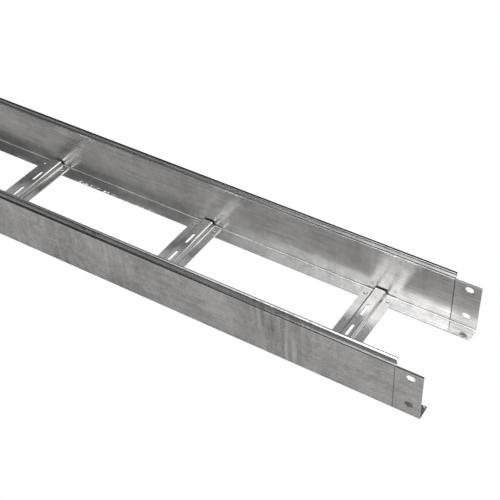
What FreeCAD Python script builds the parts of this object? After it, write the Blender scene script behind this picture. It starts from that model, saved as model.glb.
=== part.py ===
import FreeCAD, Part
import math
import os

# Cable ladder section: two roll-formed sheet steel side rails joined by pressed hat-section rungs.
# The origin is under the middle of the section. X runs along the ladder, whose two ends are alike,
# Y runs across it, and Z is up. All sizes are in millimetres.

# Driving dimensions of the whole section
section_length = 3000.0
ladder_width = 150.0
rail_height = 80.0
rung_pitch = 250.0

# Side rail, one strip of sheet
rail_sheet = 1.2
rail_bend = 1.2
flange_width = 19.0
lip_height = 12.0
web_top_bend = 3.0
groove_depth = 2.3
groove_rise = 3.2
groove_bend = 1.0
bead_height = 5.5
bead_width = 4.2
bead_slope = 20.0
bead_bend = 0.3
bead_leaf = 3.0

# Tongue at each end, where the lip is notched away behind a pressed crease
tongue_length = 32.0
tongue_above_bend = 0.8
crease_width = 1.4
crease_depth = 0.35
crease_from_lip_end = 1.2

# Two coupling slots in each tongue
slot_from_end = 14.5
coupling_slot_length = 10.6
coupling_slot_width = 8.6
lower_slot_height = 17.5
upper_slot_drop = 8.5

# Rung, one strip of sheet pressed to a hat section
rung_sheet = 1.2
rung_bend = 0.8
rung_width = 40.0
hat_top_width = 14.5
hat_foot_width = 19.0
hat_height = 6.8
rung_end_gap = 2.0

# Slots along the top of each rung
rung_slot_length = 19.5
rung_slot_width = 4.0
rung_slot_pitch = 36.5
rung_slot_offset = -3.5
rung_slots = 3

# Dependent values
half_length = section_length / 2
half_width = ladder_width / 2
plain_web_height = rail_height - lip_height
tongue_height = plain_web_height + tongue_above_bend
tongue_start = half_length - tongue_length
crease_x = tongue_start - crease_from_lip_end
slot_x = half_length - slot_from_end
rung_count = int(section_length / rung_pitch)
first_rung_x = -rung_pitch * (rung_count - 1) / 2
rung_length = ladder_width - 2 * (rail_sheet + rung_end_gap)
coupling_slot_heights = [lower_slot_height, plain_web_height - upper_slot_drop]


def bent_strip(corners, sheet):
    """Both sides of a sheet whose middle line follows the corners, each with its own inner bend radius."""
    sides = {1: [], -1: []}
    last = {side: None for side in sides}
    for index, corner in enumerate(corners):
        if index in (0, len(corners) - 1):
            inner = corners[1] if index == 0 else corners[-2]
            along = unit(corner, inner) if index == 0 else unit(inner, corner)
            for side in sides:
                point = shifted(corner, left_of(along), side * sheet / 2)
                if last[side] is not None:
                    sides[side].append(("line", last[side], point))
                last[side] = point
            continue
        before = unit(corners[index - 1], corner)
        after = unit(corner, corners[index + 1])
        cross = before[0] * after[1] - before[1] * after[0]
        turn = math.atan2(cross, before[0] * after[0] + before[1] * after[1])
        hand = 1 if turn > 0 else -1
        middle_radius = corner[2] + sheet / 2
        reach = middle_radius * math.tan(abs(turn) / 2)
        start = shifted(corner, before, -reach)
        centre = shifted(start, left_of(before), hand * middle_radius)
        bisector = unit(centre, corner)
        for side in sides:
            radius = middle_radius - side * hand * sheet / 2
            first = shifted(centre, left_of(before), -hand * radius)
            second = shifted(centre, left_of(after), -hand * radius)
            sides[side].append(("line", last[side], first))
            sides[side].append(("arc", first, shifted(centre, bisector, radius), second))
            last[side] = second
    return sides


def unit(first, second):
    """Direction from one point to another."""
    span = math.hypot(second[0] - first[0], second[1] - first[1])
    return ((second[0] - first[0]) / span, (second[1] - first[1]) / span)


def left_of(direction):
    return (-direction[1], direction[0])


def shifted(point, direction, distance):
    return (point[0] + direction[0] * distance, point[1] + direction[1] * distance)


def strip_wire(sides, place):
    """Wire round both sides of a bent strip; place turns a flat point into a point in space."""
    edges = []
    for side in (1, -1):
        for piece in sides[side]:
            points = [place(point) for point in piece[1:]]
            if piece[0] == "arc":
                edges.append(Part.Arc(points[0], points[1], points[2]).toShape())
            else:
                edges.append(Part.LineSegment(points[0], points[1]).toShape())
    for end in (0, -1):
        left = place(sides[1][end][1 if end == 0 else -1])
        right = place(sides[-1][end][1 if end == 0 else -1])
        edges.append(Part.LineSegment(left, right).toShape())
    return Part.Wire(Part.__sortEdges__(edges))


def rail_corners():
    """Middle line of the rolled rail: distance in from the web's outer face, height, inner bend radius."""
    half = rail_sheet / 2
    slope = math.radians(bead_slope)
    bend = bead_bend + half
    ridge = rail_height - half + bend * (math.tan(slope) + 1 / math.cos(slope) - 1)
    shoulder = ridge - (bead_width - rail_sheet) * math.tan(slope)
    return [
        (flange_width, half),
        (half, half, rail_bend),
        (half, plain_web_height, web_top_bend),
        (half + groove_depth, plain_web_height + groove_rise, groove_bend),
        (half, rail_height - bead_height, groove_bend),
        (half, shoulder, bead_bend),
        (bead_width - half, ridge, bead_bend),
        (bead_width - half, rail_height - bead_leaf),
    ]


def coupling_slot(x, z, side):
    """Cutter through a tongue's web: a slot along X with round ends."""
    radius = coupling_slot_width / 2
    reach = coupling_slot_length / 2 - radius
    depth = 6 * rail_sheet
    y = side * half_width - depth / 2
    cutter = Part.makeBox(2 * reach, depth, coupling_slot_width, FreeCAD.Vector(x - reach, y, z - radius))
    for centre in (x - reach, x + reach):
        drill = Part.makeCylinder(radius, depth, FreeCAD.Vector(centre, y, z), FreeCAD.Vector(0, 1, 0))
        cutter = cutter.fuse(drill)
    return cutter.removeSplitter()


def crease(x, side):
    """Cutters for the pressed line across the web, a wedge into each face of the sheet."""
    foot = rail_sheet + rail_bend
    wedges = []
    for face, tip in ((0, crease_depth), (rail_sheet, rail_sheet - crease_depth)):
        flat = [(x - crease_width / 2, face), (x, tip), (x + crease_width / 2, face)]
        corners = [FreeCAD.Vector(p[0], side * (half_width - p[1]), foot) for p in flat]
        wedge = Part.Face(Part.makePolygon(corners + corners[:1]))
        wedges.append(wedge.extrude(FreeCAD.Vector(0, 0, plain_web_height - foot)))
    return wedges


def lip_notch(end):
    """Cutter that takes the lip off the last stretch of the rails, at one end of the section."""
    start = tongue_start if end > 0 else -half_length
    corner = FreeCAD.Vector(start, -half_width, tongue_height)
    return Part.makeBox(tongue_length, ladder_width, rail_height - tongue_height, corner)


def side_rail(side):
    """One rolled strip; side is -1 for the near rail and 1 for the far one."""
    def place(point):
        return FreeCAD.Vector(-half_length, side * (half_width - point[0]), point[1])

    outline = strip_wire(bent_strip(rail_corners(), rail_sheet), place)
    rail = Part.Face(outline).extrude(FreeCAD.Vector(section_length, 0, 0))
    cutters = []
    for end in (-1, 1):
        cutters.append(lip_notch(end))
        cutters += crease(end * crease_x, side)
        for z in coupling_slot_heights:
            cutters.append(coupling_slot(end * slot_x, z, side))
    return rail.cut(cutters)


def rung_positions():
    return [first_rung_x + rung_pitch * index for index in range(rung_count)]


def rung(x):
    """One hat-section rung, whose feet lie on the rails' flanges."""
    def place(point):
        return FreeCAD.Vector(x + point[0], -rung_length / 2, rail_sheet + point[1])

    half = rung_sheet / 2
    top = hat_height - half
    bends = [(hat_top_width / 2 - half, top, rung_bend), (hat_foot_width / 2 - half, half, rung_bend)]
    right = bends + [(rung_width / 2, half, 0)]
    corners = [(-p[0], p[1], p[2]) for p in reversed(right)] + right
    outline = strip_wire(bent_strip(corners, rung_sheet), place)
    hat = Part.Face(outline).extrude(FreeCAD.Vector(0, rung_length, 0))
    return hat.cut([rung_slot(x, y) for y in slot_positions()])


def slot_positions():
    middle = (rung_slots - 1) / 2
    return [rung_slot_offset + rung_slot_pitch * (index - middle) for index in range(rung_slots)]


def rung_slot(x, y):
    """Cutter for one slot along the middle of a rung's top."""
    radius = rung_slot_width / 2
    reach = (rung_slot_length - rung_slot_width) / 2
    bottom = rail_sheet + hat_height - 2 * rung_sheet
    depth = 3 * rung_sheet
    cutter = Part.makeBox(rung_slot_width, 2 * reach, depth, FreeCAD.Vector(x - radius, y - reach, bottom))
    for end in (-reach, reach):
        cutter = cutter.fuse(Part.makeCylinder(radius, depth, FreeCAD.Vector(x, y + end, bottom)))
    return cutter.removeSplitter()


def save(shape, name):
    solid = shape.removeSplitter()
    solid = solid.Solids[0] if len(solid.Solids) == 1 else solid
    print(name, solid.isValid(), len(shape.Solids), round(solid.Volume), solid.BoundBox)
    solid.exportStep("parts/" + name + ".step")


os.makedirs("parts", exist_ok=True)
save(side_rail(-1), "side_rail_near")
save(side_rail(1), "side_rail_far")
for number, rung_x in enumerate(rung_positions(), start=1):
    save(rung(rung_x), "rung_%02d" % number)
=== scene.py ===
import math
import bpy
from mathutils import Matrix, Vector


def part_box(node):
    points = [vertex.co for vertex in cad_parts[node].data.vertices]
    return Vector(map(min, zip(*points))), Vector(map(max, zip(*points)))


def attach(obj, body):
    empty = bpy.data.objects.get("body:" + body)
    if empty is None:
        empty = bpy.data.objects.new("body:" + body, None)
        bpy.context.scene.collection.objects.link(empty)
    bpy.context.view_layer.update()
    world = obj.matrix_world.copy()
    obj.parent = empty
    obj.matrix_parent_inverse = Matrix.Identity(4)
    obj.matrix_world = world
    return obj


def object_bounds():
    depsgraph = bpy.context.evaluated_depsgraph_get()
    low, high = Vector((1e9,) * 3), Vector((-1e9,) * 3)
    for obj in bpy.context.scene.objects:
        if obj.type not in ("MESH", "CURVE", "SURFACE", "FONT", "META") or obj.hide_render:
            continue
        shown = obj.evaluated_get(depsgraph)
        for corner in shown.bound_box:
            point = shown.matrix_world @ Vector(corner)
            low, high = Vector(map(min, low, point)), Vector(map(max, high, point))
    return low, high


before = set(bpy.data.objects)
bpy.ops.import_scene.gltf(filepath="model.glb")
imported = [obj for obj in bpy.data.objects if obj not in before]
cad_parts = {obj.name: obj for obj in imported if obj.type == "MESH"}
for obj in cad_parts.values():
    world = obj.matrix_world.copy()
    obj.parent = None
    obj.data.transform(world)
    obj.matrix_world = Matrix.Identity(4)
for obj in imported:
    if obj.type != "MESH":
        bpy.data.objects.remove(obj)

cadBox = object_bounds()
print("frame loaded:", len(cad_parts), "nodes")


# Shader maths as plain expressions: a Value wraps a socket, and each operator adds its Math node.
class Value:
    def __init__(self, graph, socket):
        self.graph = graph
        self.socket = socket

    def maths(self, operation, *others):
        operands = dict(enumerate((self,) + others))
        return self.graph.node("Math", {"operation": operation}, operands)

    def __add__(self, other):
        return self.maths("ADD", other)

    def __sub__(self, other):
        return self.maths("SUBTRACT", other)

    def __rsub__(self, other):
        return self.graph.node("Math", {"operation": "SUBTRACT"}, {0: other, 1: self})

    def __mul__(self, other):
        return self.maths("MULTIPLY", other)

    def __abs__(self):
        return self.maths("ABSOLUTE")

    __radd__ = __add__
    __rmul__ = __mul__

    def ramp(self, start, full):  # goes smoothly from 0 at start to 1 at full, whichever is larger
        settings = {"interpolation_type": "SMOOTHSTEP"}
        return self.graph.node("MapRange", settings, {0: self, 1: start, 2: full})


# Node tree of a material or a world, with one method that makes every node.
class Graph:
    def __init__(self, owner):
        self.owner = owner
        owner.use_nodes = True
        self.tree = owner.node_tree
        self.tree.nodes.clear()

    def node(self, kind, settings=None, sockets=None, out=0):
        made = self.tree.nodes.new("ShaderNode" + kind)
        for name, value in (settings or {}).items():
            setattr(made, name, value)
        for key, value in (sockets or {}).items():
            if isinstance(value, Value):
                self.tree.links.new(value.socket, made.inputs[key])
            else:
                made.inputs[key].default_value = value
        return Value(self, made.outputs[out] if len(made.outputs) else None)

    def place(self, scale=(1, 1, 1), start=(0, 0, 0)):
        sockets = {"Vector": self.node("TexCoord", out="Object"), "Location": start, "Scale": scale}
        return self.node("Mapping", {"vector_type": "POINT"}, sockets)

    def part(self, vector, axis):
        return self.node("SeparateXYZ", None, {0: vector}, axis)

    def noise(self, place, scale, detail=2, roughness=0.5, distortion=0, limits=None):
        sockets = {"Vector": place, "Scale": scale, "Detail": detail, "Roughness": roughness,
                   "Distortion": distortion}
        made = self.node("TexNoise", None, sockets)
        return made.ramp(*limits) if limits else made

    def blend(self, first, second, factor):
        return self.node("Mix", {"data_type": "RGBA"}, {0: factor, 6: first, 7: second}, out=2)


def grey(level, warmth=0.0):
    return (level * (1 + warmth), level, level * (1 - warmth), 1)


# Zinc-coated sheet: its tones, its patterns by their scale per metre, and the places in metres of its marks
# and of its painted shade.
# A pattern's limits and a place's two heights, or distances from the middle, are where it starts and where
# it is full. Only the crease and the fold have their two ends there instead.
zinc = {
    "dark": grey(0.30, 0.018),
    "light": grey(0.92, 0.018),
    # The darkest tone, used for real scuffs and also for painted shade and painted dark reflections
    "scuffAndPaintedShade": grey(0.04),
    "roughnessSpread": 0.06,  # how much rougher dark zinc is than light zinc
    "clouds": {"scale": 20, "detail": 5, "roughness": 0.62, "limits": (0.34, 0.66)},
    "spangles": 140,
    "speckle": {"scale": 330, "roughness": 0.6, "distortion": 1.5},
    "patches": {"scale": 7, "limits": (0.46, 0.60)},  # where the rubs are
    "patchStart": (-0.12, 0, 0),
    "lines": {"scale": 420, "detail": 3, "roughness": 0.7, "limits": (0.25, 0.75)},  # along a strip
    "lineStretch": 0.03,
    "lineStrength": 1.3,  # outside the patches, and 1 less inside them
    "rubs": {"scale": 150, "detail": 3, "roughness": 0.7, "limits": (0.35, 0.7)},  # across a strip
    "rubStretch": 0.07,
    "rubMiddle": 0.6,
    "scuffs": {"scale": 420, "roughness": 0.6, "limits": (0.54, 0.62)},  # small dark marks
    "scuffPlaces": {"scale": 9, "detail": 1, "limits": (0.66, 0.72)},
    "scuffStart": (0.3, 0, 0),
    "drops": {"scale": 400, "detail": 1, "limits": (0.58, 0.64)},  # runs of zinc on the flange's edge
    "dropPlaces": {"scale": 6, "detail": 1, "limits": (0.52, 0.60)},
    "dropStart": (0.40, 0, 0),
    "dropHeight": 3.0,
    "dropDull": 0.9,
    "waves": {"scale": 14, "detail": 1},
    "speckleHeight": 0.004,
    "bump": 0.02,
    "bumpDistance": 0.01,
    # The crease place gets painted shade: the zinc is darkened along the crease line
    "creaseFromEnd": 0.0332,
    "creaseWidth": 0.0020,
    "creaseHeights": (0.0024, 0.068),
    "creaseSoft": 0.001,
    "tongueSoft": 0.001,
    # The fold place gets painted shade: the zinc is darkened a little in the inner corner between flange and
    # web
    "foldHeights": (0.0015, 0.0026),  # between the flange and the web
    "foldSoft": 0.0002,
    "edgeFromMiddle": (0.0602, 0.0578),  # the flange's free edge
    "lipHeights": (0.0655, 0.0670),
    # The crest and bead places get a painted dark reflection: the zinc is darkened along the bead's top
    # slope and outer face
    "crestHeights": (0.0776, 0.0779),  # the outer slope along the top of the bead
    "crestFromMiddle": (0.0712, 0.0716),
    "beadHeights": (0.0742, 0.0752),  # the bead's outer face
    "beadFromMiddle": (0.0740, 0.0744),
    # The base place gets a painted shadow: the zinc is darkened on the lower sides of the clinch buttons
    "baseHeights": (0.0034, 0.0032),  # the sides of the clinch buttons
}

# Finish of each kind of piece: the axes along and across its strip, its tone and its roughness, how strongly
# each pattern, each scuff and each painted shade shows on it, and how much rougher some places are
finishes = {
    "near rail": {
        "along": "X", "across": "Z", "tone": 0.47, "roughness": 0.25, "drops": 0.6,
        "patterns": {"clouds": 0.24, "spangles": 0.14, "speckle": 0.75, "flatSpeckle": 0.7, "flat": 0.10,
                     "lines": 0.18, "rubs": 0.45},
        # Scuffs are marks on the zinc; crease and fold get painted shade, the bead a painted dark reflection
        "scuffsAndPaintedShade": {"crease": 0.55, "fold": 0.28, "bead": 0.58, "scuffs": 0.8},
        "rougher": {"flat": -0.03, "lip": -0.06, "fold": 0.45}},
    "far rail": {
        # Its tone, a little below the near rail's, is darkened as painted shade
        "along": "X", "across": "Z", "tone": 0.43, "roughness": 0.30, "drops": 1.0,
        "patterns": {"clouds": 0.24, "spangles": 0.08, "speckle": 0.30, "flatSpeckle": 0.6, "flat": 0.12,
                     "lines": 0.30, "rubs": 0.12},
        # Scuffs are marks on the zinc; crease and fold get painted shade, crest and bead a painted dark
        # reflection
        "scuffsAndPaintedShade": {"crease": 0.9, "fold": 0.28, "crest": 1.0, "bead": 0.58, "scuffs": 0.4},
        "rougher": {"flat": -0.09, "lip": -0.06, "fold": 0.45, "tongue": 0.11}},
    "rung": {
        "along": "Y", "across": "X", "tone": 0.74, "roughness": 0.23, "drops": 0.0,
        "patterns": {"clouds": 0.18, "spangles": 0.06, "speckle": 0.20, "lines": 0.14, "rubs": 0.08},
        "scuffsAndPaintedShade": {},
        "rougher": {}},
    "clinch": {
        "along": "Y", "across": "X", "tone": 0.74, "roughness": 0.23, "drops": 0.0,
        "patterns": {"clouds": 0.10, "speckle": 0.20},
        # Painted shadow on the buttons' lower sides
        "scuffsAndPaintedShade": {"base": 0.95},
        "rougher": {}},
}


def stretched(axis, factor):
    return [factor if name == axis else 1.0 for name in "XYZ"]


def band(value, limits, soft):  # 1 between the limits, 0 beyond them
    low, high = limits
    return value.ramp(low - soft, low) * value.ramp(high + soft, high)


# Places on the section, each 1 there and 0 elsewhere
def sheetPlaces(graph, place):
    z = graph.part(place, "Z")
    fromMiddle = abs(graph.part(place, "Y"))
    fromCentre = abs(graph.part(place, "X"))
    crease = cadBox[1][0] - zinc["creaseFromEnd"]
    nearCrease = abs(fromCentre - crease).ramp(zinc["creaseWidth"] / 2, 0.0)
    beyondCrease = fromCentre.ramp(crease, crease + zinc["tongueSoft"])
    low, high = zinc["foldHeights"]
    return {
        "flat": z.ramp(high, low),
        "fold": band(z, zinc["foldHeights"], zinc["foldSoft"]),
        "crease": nearCrease * band(z, zinc["creaseHeights"], zinc["creaseSoft"]),
        "tongue": beyondCrease * z.ramp(low, high),
        "lip": z.ramp(*zinc["lipHeights"]),
        "crest": z.ramp(*zinc["crestHeights"]) * fromMiddle.ramp(*zinc["crestFromMiddle"]),
        "bead": z.ramp(*zinc["beadHeights"]) * fromMiddle.ramp(*zinc["beadFromMiddle"]),
        "edge": fromMiddle.ramp(*zinc["edgeFromMiddle"]),
        "base": z.ramp(*zinc["baseHeights"]),
    }


# Patterns that make the zinc lighter and darker, each about zero, but for the flange's own level
def zincPatterns(graph, place, flat, finish):
    patches = graph.noise(graph.place(start=zinc["patchStart"]), **zinc["patches"])
    along = graph.place(stretched(finish["along"], zinc["lineStretch"]))
    across = graph.place(stretched(finish["across"], zinc["rubStretch"]))
    lines = graph.noise(along, **zinc["lines"]) - 0.5
    rubs = graph.noise(across, **zinc["rubs"]) - zinc["rubMiddle"]
    cellSockets = {"Vector": place, "Scale": zinc["spangles"]}
    cells = graph.node("TexVoronoi", {"feature": "F1"}, cellSockets, "Color")
    speckle = graph.noise(place, **zinc["speckle"]) - 0.5
    return {
        "clouds": graph.noise(place, **zinc["clouds"]) - 0.5,
        "spangles": graph.node("SeparateColor", None, {0: cells}) - 0.5,
        "speckle": speckle,
        "flatSpeckle": speckle * flat,
        "flat": flat,
        "lines": lines * (zinc["lineStrength"] - patches),
        "rubs": rubs * patches,
    }


def weighted(values, weights):  # sum of the values that have a weight
    return sum(values[key] * weight for key, weight in weights.items())


def zincMaterial(name):
    finish = finishes[name]
    graph = Graph(bpy.data.materials.new(name + " zinc"))
    plain = graph.place()
    places = sheetPlaces(graph, plain)
    patterns = zincPatterns(graph, plain, places["flat"], finish)
    tone = weighted(patterns, finish["patterns"]) + finish["tone"]
    scuffed = graph.noise(graph.place(start=zinc["scuffStart"]), **zinc["scuffPlaces"])
    # Darkens the scuffs, paints shade into the crease, the fold and the buttons' lower sides, and paints
    # dark reflections onto the bead
    scuffsAndPaintedShade = dict(places, scuffs=graph.noise(plain, **zinc["scuffs"]) * scuffed)
    tint = graph.blend(zinc["dark"], zinc["light"], tone)
    scuffedAndShaded = graph.blend(tint, zinc["scuffAndPaintedShade"], weighted(scuffsAndPaintedShade, finish["scuffsAndPaintedShade"]))
    rough = (0.5 - tone) * zinc["roughnessSpread"] + finish["roughness"]
    rough = rough + weighted(places, finish["rougher"])
    dripped = graph.noise(graph.place(start=zinc["dropStart"]), **zinc["dropPlaces"])
    drops = graph.noise(plain, **zinc["drops"]) * places["edge"] * places["flat"] * dripped * finish["drops"]
    waves = graph.noise(plain, **zinc["waves"]) + patterns["speckle"] * zinc["speckleHeight"]
    waves = waves + drops * zinc["dropHeight"]
    relief = {"Strength": zinc["bump"], "Distance": zinc["bumpDistance"], "Height": waves}
    surface = graph.node("BsdfPrincipled", None, {
        "Base Color": scuffedAndShaded,
        "Metallic": 1.0 - drops * zinc["dropDull"],
        "Roughness": rough,
        "Normal": graph.node("Bump", None, relief, "Normal")})
    graph.node("OutputMaterial", None, {"Surface": surface})
    return graph.owner


def paint(piece, material):
    piece.data.materials.clear()
    piece.data.materials.append(material)


rungs = [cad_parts[name] for name in sorted(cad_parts) if name.startswith("rung_")]
rungZinc = zincMaterial("rung")
paint(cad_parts["side_rail_near"], zincMaterial("near rail"))
paint(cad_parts["side_rail_far"], zincMaterial("far rail"))
for piece in rungs:
    paint(piece, rungZinc)
print("materials set on 2 rails and", len(rungs), "rungs")


# Geometry node tree with named inputs. A string given to a socket is the name of such an input.
class Shapes:
    def __init__(self, name, inputs):
        self.tree = bpy.data.node_groups.new(name, "GeometryNodeTree")
        self.sockets = {}
        for label, kind in inputs.items():
            socket = self.tree.interface.new_socket(label, in_out="INPUT", socket_type="NodeSocket" + kind)
            self.sockets[label] = socket.identifier
        self.tree.interface.new_socket("Geometry", in_out="OUTPUT", socket_type="NodeSocketGeometry")
        self.given = self.tree.nodes.new("NodeGroupInput")

    def node(self, kind, settings=None, sockets=None):
        made = self.tree.nodes.new("GeometryNode" + kind)
        for name, value in (settings or {}).items():
            setattr(made, name, value)
        for key, value in (sockets or {}).items():
            if isinstance(value, str):
                self.tree.links.new(self.given.outputs[value], made.inputs[key])
            elif isinstance(value, bpy.types.NodeSocket):
                self.tree.links.new(value, made.inputs[key])
            else:
                made.inputs[key].default_value = value
        return made.outputs[0]

    def join(self, *parts):
        joined = self.tree.nodes.new("GeometryNodeJoinGeometry")
        for part in parts:
            self.tree.links.new(part, joined.inputs[0])
        return joined.outputs[0]

    def finish(self, geometry, material):
        real = self.node("RealizeInstances", None, {0: geometry})
        coated = self.node("SetMaterial", None, {0: real, "Material": material})
        end = self.tree.nodes.new("NodeGroupOutput")
        self.tree.links.new(coated, end.inputs[0])

    def build(self, name, values):  # plain mesh of the tree's result for these input values
        holder = bpy.data.objects.new(name, bpy.data.meshes.new(name))
        bpy.context.scene.collection.objects.link(holder)
        modifier = holder.modifiers.new("shape", "NODES")
        modifier.node_group = self.tree
        for label, value in values.items():
            modifier[self.sockets[label]] = value
        evaluated = holder.evaluated_get(bpy.context.evaluated_depsgraph_get())
        mesh = bpy.data.meshes.new_from_object(evaluated)
        holder.modifiers.remove(modifier)
        holder.data = mesh
        mesh.name = name
        return holder


# Clinch points that hold each rung's feet to the flanges: round buttons with a rounded rim and a flat middle
clinch = {
    "diameter": 0.0056,
    "rimWidth": 0.0016,
    "rimHeight": 0.0011,
    "middleHeight": 0.0010,
    "fromRungEdge": 0.0048,
    "fromFlangeEdge": 0.0073,
    "steps": 24,
    "rimSteps": 12,
}


def clinchTree():
    shapes = Shapes("clinch points", {
        "Rim Radius": "Float", "Rim Section": "Float", "Flatness": "Vector", "Middle Height": "Vector",
        "Steps": "Int", "Rim Steps": "Int", "Rungs": "Int", "Pitch": "Vector", "First": "Vector",
        "Spread X": "Float", "Spread Y": "Float"})
    path = shapes.node("CurvePrimitiveCircle", None, {"Resolution": "Steps", "Radius": "Rim Radius"})
    section = shapes.node("CurvePrimitiveCircle", None, {"Resolution": "Rim Steps", "Radius": "Rim Section"})
    ring = shapes.node("CurveToMesh", None, {"Curve": path, "Profile Curve": section})
    smooth = shapes.node("SetShadeSmooth", None, {"Geometry": ring})
    rim = shapes.node("Transform", None, {"Geometry": smooth, "Scale": "Flatness"})
    disc = shapes.node("MeshCircle", {"fill_type": "NGON"}, {"Vertices": "Steps", "Radius": "Rim Radius"})
    middle = shapes.node("Transform", None, {"Geometry": disc, "Translation": "Middle Height"})
    button = shapes.join(rim, middle)
    corners = {"Size X": "Spread X", "Size Y": "Spread Y", "Vertices X": 2, "Vertices Y": 2}
    four = shapes.node("MeshGrid", None, corners)  # one button at each corner of a rung
    line = {"Count": "Rungs", "Start Location": "First", "Offset": "Pitch"}
    row = shapes.node("MeshLine", {"mode": "OFFSET"}, line)
    groups = shapes.node("InstanceOnPoints", None, {"Points": row, "Instance": four})
    places = shapes.node("RealizeInstances", None, {0: groups})
    return shapes, shapes.node("InstanceOnPoints", None, {"Points": places, "Instance": button})


def footTop(piece, slack=0.00001):  # height of a rung's foot, read at its outer edge
    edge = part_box(piece.name)[1].x - slack
    return max(vertex.co.z for vertex in piece.data.vertices if vertex.co.x > edge)


def clinchPoints():
    boxes = [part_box(piece.name) for piece in rungs]
    centres = [(low.x + high.x) / 2 for low, high in boxes]
    low, high = boxes[0]
    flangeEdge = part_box("side_rail_far")[0].y
    section = clinch["rimWidth"] / 2
    shapes, geometry = clinchTree()
    shapes.finish(geometry, zincMaterial("clinch"))
    return shapes.build("clinch_points", {
        "Rim Radius": clinch["diameter"] / 2 - section,
        "Rim Section": section,
        "Flatness": (1, 1, clinch["rimHeight"] / section),
        "Middle Height": (0, 0, clinch["middleHeight"]),
        "Steps": clinch["steps"],
        "Rim Steps": clinch["rimSteps"],
        "Rungs": len(rungs),
        "Pitch": (centres[1] - centres[0], 0, 0),
        "First": (centres[0], 0, footTop(rungs[0])),
        "Spread X": high.x - low.x - 2 * clinch["fromRungEdge"],
        "Spread Y": 2 * (flangeEdge + clinch["fromFlangeEdge"])})


buttons = clinchPoints()
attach(buttons, "root")
print("clinch points made:", len(buttons.data.polygons), "faces")

# Studio: the camera sees the floor and the surround as white, and the metal mirrors a plain grey floor and a
# sky of soft patches of light
studio = {
    "floorSize": (5.0, 0.6),
    "floorDrop": 0.0005,
    "floorTone": 0.20,
    "floorWarmth": 0.02,
    "skyWarmth": -0.025,
    "horizon": 0.02,  # brightness of the sky where there is no patch
}

# Patches of the sky: how bright each one is, and its limits. A limit has an axis and the two shares of the
# direction along it, from -1 to 1, at which the patch starts and is full.
sky = {
    "shade": {"level": 0.07, "limits": [("Z", 0.15, 0.60)]},
    "front": {"level": 0.07, "limits": [("Y", 0.35, 0.0), ("Z", 0.15, 0.60)]},
    "frontSide": {"level": 2.3, "limits": [("X", 0.15, 0.45), ("Y", 0.35, 0.0), ("Z", 0.15, 0.60)]},
    "side": {"level": 0.6, "limits": [("X", 0.15, 0.45), ("Z", 0.15, 0.60)]},
    "back": {"level": 0.36, "limits": [("X", -0.23, -0.34), ("Y", 0.2, 0.5), ("Z", 0.15, 0.60)]},
    "lift": {"level": 0.6, "limits": [("X", -0.26, -0.16), ("Y", 0.40, 0.25), ("Z", 0.12, 0.40)]},
    "glow": {"level": 0.7, "limits": [("X", -0.47, -0.28), ("X", 0.0, -0.14), ("Y", 0.10, -0.02),
                                      ("Z", 0.12, 0.28)]},
    "panel": {"level": 2.15, "limits": [("X", -0.375, -0.305), ("X", 0.0, -0.14), ("Y", 0.10, -0.02),
                                        ("Z", 0.30, 0.60)]},
    "top": {"level": 1.2, "limits": [("X", -0.66, -0.38), ("X", 0.0, -0.14), ("Y", -0.45, -0.25),
                                     ("Y", 0.10, -0.02), ("Z", 0.76, 0.88)]},
}


def studioSky():
    world = bpy.data.worlds.new("studio")
    bpy.context.scene.world = world
    graph = Graph(world)
    direction = graph.node("TexCoord", out="Generated")
    parts = {axis: graph.part(direction, axis) for axis in "XYZ"}
    level = studio["horizon"]
    for patch in sky.values():
        shares = [parts[axis].ramp(start, full) for axis, start, full in patch["limits"]]
        level = level + math.prod(shares) * patch["level"]
    seen = graph.node("LightPath", out="Is Camera Ray")
    surround = graph.node("Background", None, {"Color": grey(1, studio["skyWarmth"]), "Strength": level})
    white = graph.node("Background", None, {"Color": grey(1), "Strength": 1.0})
    both = graph.node("MixShader", None, {0: seen, 1: surround, 2: white})
    graph.node("OutputWorld", None, {"Surface": both})


def studioFloor():
    x, y = [size / 2 for size in studio["floorSize"]]
    z = -studio["floorDrop"]
    mesh = bpy.data.meshes.new("floor")
    mesh.from_pydata([(-x, -y, z), (x, -y, z), (x, y, z), (-x, y, z)], [], [(0, 1, 2, 3)])
    floor = bpy.data.objects.new("floor", mesh)
    bpy.context.scene.collection.objects.link(floor)
    graph = Graph(bpy.data.materials.new("pale floor"))
    seen = graph.node("LightPath", out="Is Camera Ray")
    matt = graph.node("BsdfDiffuse", None, {"Color": grey(studio["floorTone"], studio["floorWarmth"])})
    white = graph.node("Emission", None, {"Color": grey(1), "Strength": 1.0})
    both = graph.node("MixShader", None, {0: seen, 1: matt, 2: white})
    graph.node("OutputMaterial", None, {"Surface": both})
    paint(floor, graph.owner)


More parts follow.
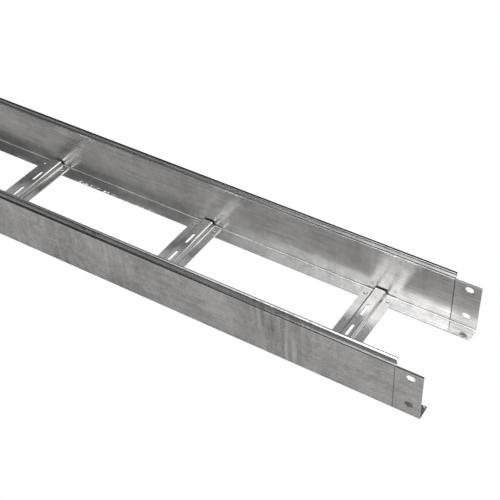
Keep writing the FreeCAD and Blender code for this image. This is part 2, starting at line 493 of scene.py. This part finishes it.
# Area lights over the floor, in metres and watts. The metal mirrors only the floor that they light.
lamps = {
    "key": {"place": (1.9, -1.1, 1.5), "aim": (1.3, -0.25, 0), "size": (1.0, 1.0), "power": 46},
    "far end": {"place": (-1.6, -1.1, 1.5), "aim": (-1.3, -0.1, 0), "size": (1.2, 1.2), "power": 24},
    "behind": {"place": (-0.5, 1.1, 1.5), "aim": (-0.5, 0.2, 0), "size": (2.4, 0.8), "power": 72},
}


def softbox(name, place, aim, size, power):
    light = bpy.data.lights.new(name, "AREA")
    light.shape = "RECTANGLE"
    light.size, light.size_y = size
    light.energy = power
    holder = bpy.data.objects.new(name, light)
    bpy.context.scene.collection.objects.link(holder)
    holder.location = place
    holder.rotation_mode = "QUATERNION"
    holder.rotation_quaternion = (Vector(aim) - Vector(place)).to_track_quat("-Z", "Y")
    holder.visible_glossy = False


studioSky()
studioFloor()
for name, lamp in lamps.items():
    softbox(name, **lamp)
print("studio made")

# Camera fitted to the photo, whose frame is a crop: angles in degrees, eye and clip in metres
photo = {
    "azimuth": 27.985,
    "elevation": 45.642,
    "roll": 1.413,
    "eye": (1.7299, -0.6725, 0.8307),
    "framePixels": 500,
    "lensPixels": 970.6,
    "centrePixels": (350, 300),
    "clip": (0.01, 100),
}


def photoCamera():
    camera = bpy.data.cameras.new("photo camera")
    holder = bpy.data.objects.new("photo camera", camera)
    bpy.context.scene.collection.objects.link(holder)
    frameWidth = photo["framePixels"]
    camera.lens = camera.sensor_width * photo["lensPixels"] / frameWidth
    camera.shift_x = 0.5 - photo["centrePixels"][0] / frameWidth
    camera.shift_y = photo["centrePixels"][1] / frameWidth - 0.5
    turn = Matrix.Rotation(math.radians(photo["azimuth"]), 4, "Z")
    tilt = Matrix.Rotation(math.radians(90 - photo["elevation"]), 4, "X")
    roll = Matrix.Rotation(math.radians(photo["roll"]), 4, "Z")
    holder.matrix_world = Matrix.Translation(photo["eye"]) @ turn @ tilt @ roll
    camera.clip_start, camera.clip_end = photo["clip"]
    bpy.context.scene.camera = holder


photoCamera()
bpy.context.scene.view_settings.view_transform = "Standard"
print("camera set")
